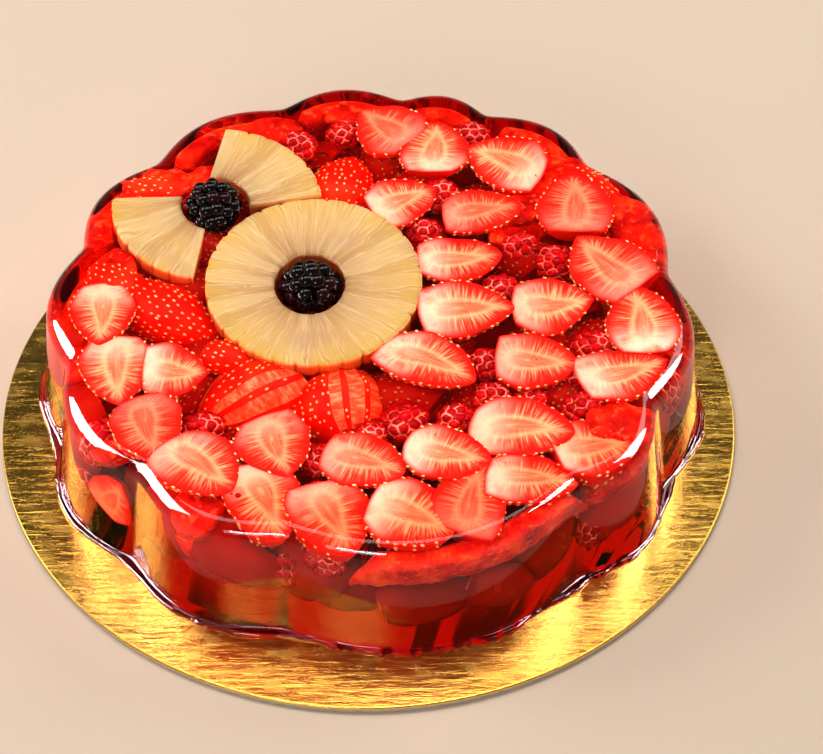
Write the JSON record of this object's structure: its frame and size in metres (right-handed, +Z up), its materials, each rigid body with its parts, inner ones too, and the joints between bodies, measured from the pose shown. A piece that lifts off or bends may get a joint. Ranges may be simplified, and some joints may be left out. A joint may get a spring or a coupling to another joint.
{
  "type": "moulded fruit jelly",
  "caption": "Round scalloped red jelly full of strawberries and raspberries on a gold cake board, with pineapple slices and dark berries set into its top.",
  "frame": {"origin": "centre of the cake board's underside", "axes": "+Z up out of the board, -Y towards the front with the double-width lobe, +X to the right"},
  "size_m": [0.28, 0.28, 0.0611],
  "materials": {
    "gold_foil_board": "crinkled gold foil wrapped over white card",
    "red_jelly": "clear set gelatine, wet and glossy, deep red",
    "pineapple_flesh": "moist fibrous fruit flesh, pale yellow",
    "dark_berry_skin": "taut glossy near-black berry skin",
    "strawberry_flesh": "moist cut flesh, red at the rim and pale at the core, bright red skin with pale seeds",
    "red_berry_skin": "soft crimson berry skin",
    "card_edge": "raw pale card edge"
  },
  "bodies": {
    "root": {"cake_board": "gold_foil_board", "jelly": "red_jelly", "pineapple_ring": "pineapple_flesh", "pineapple_wedge_left": "pineapple_flesh", "pineapple_wedge_back": "pineapple_flesh", "dark_berry_centre": "dark_berry_skin", "dark_berry_side": "dark_berry_skin"}
  },
  "joints": []
}
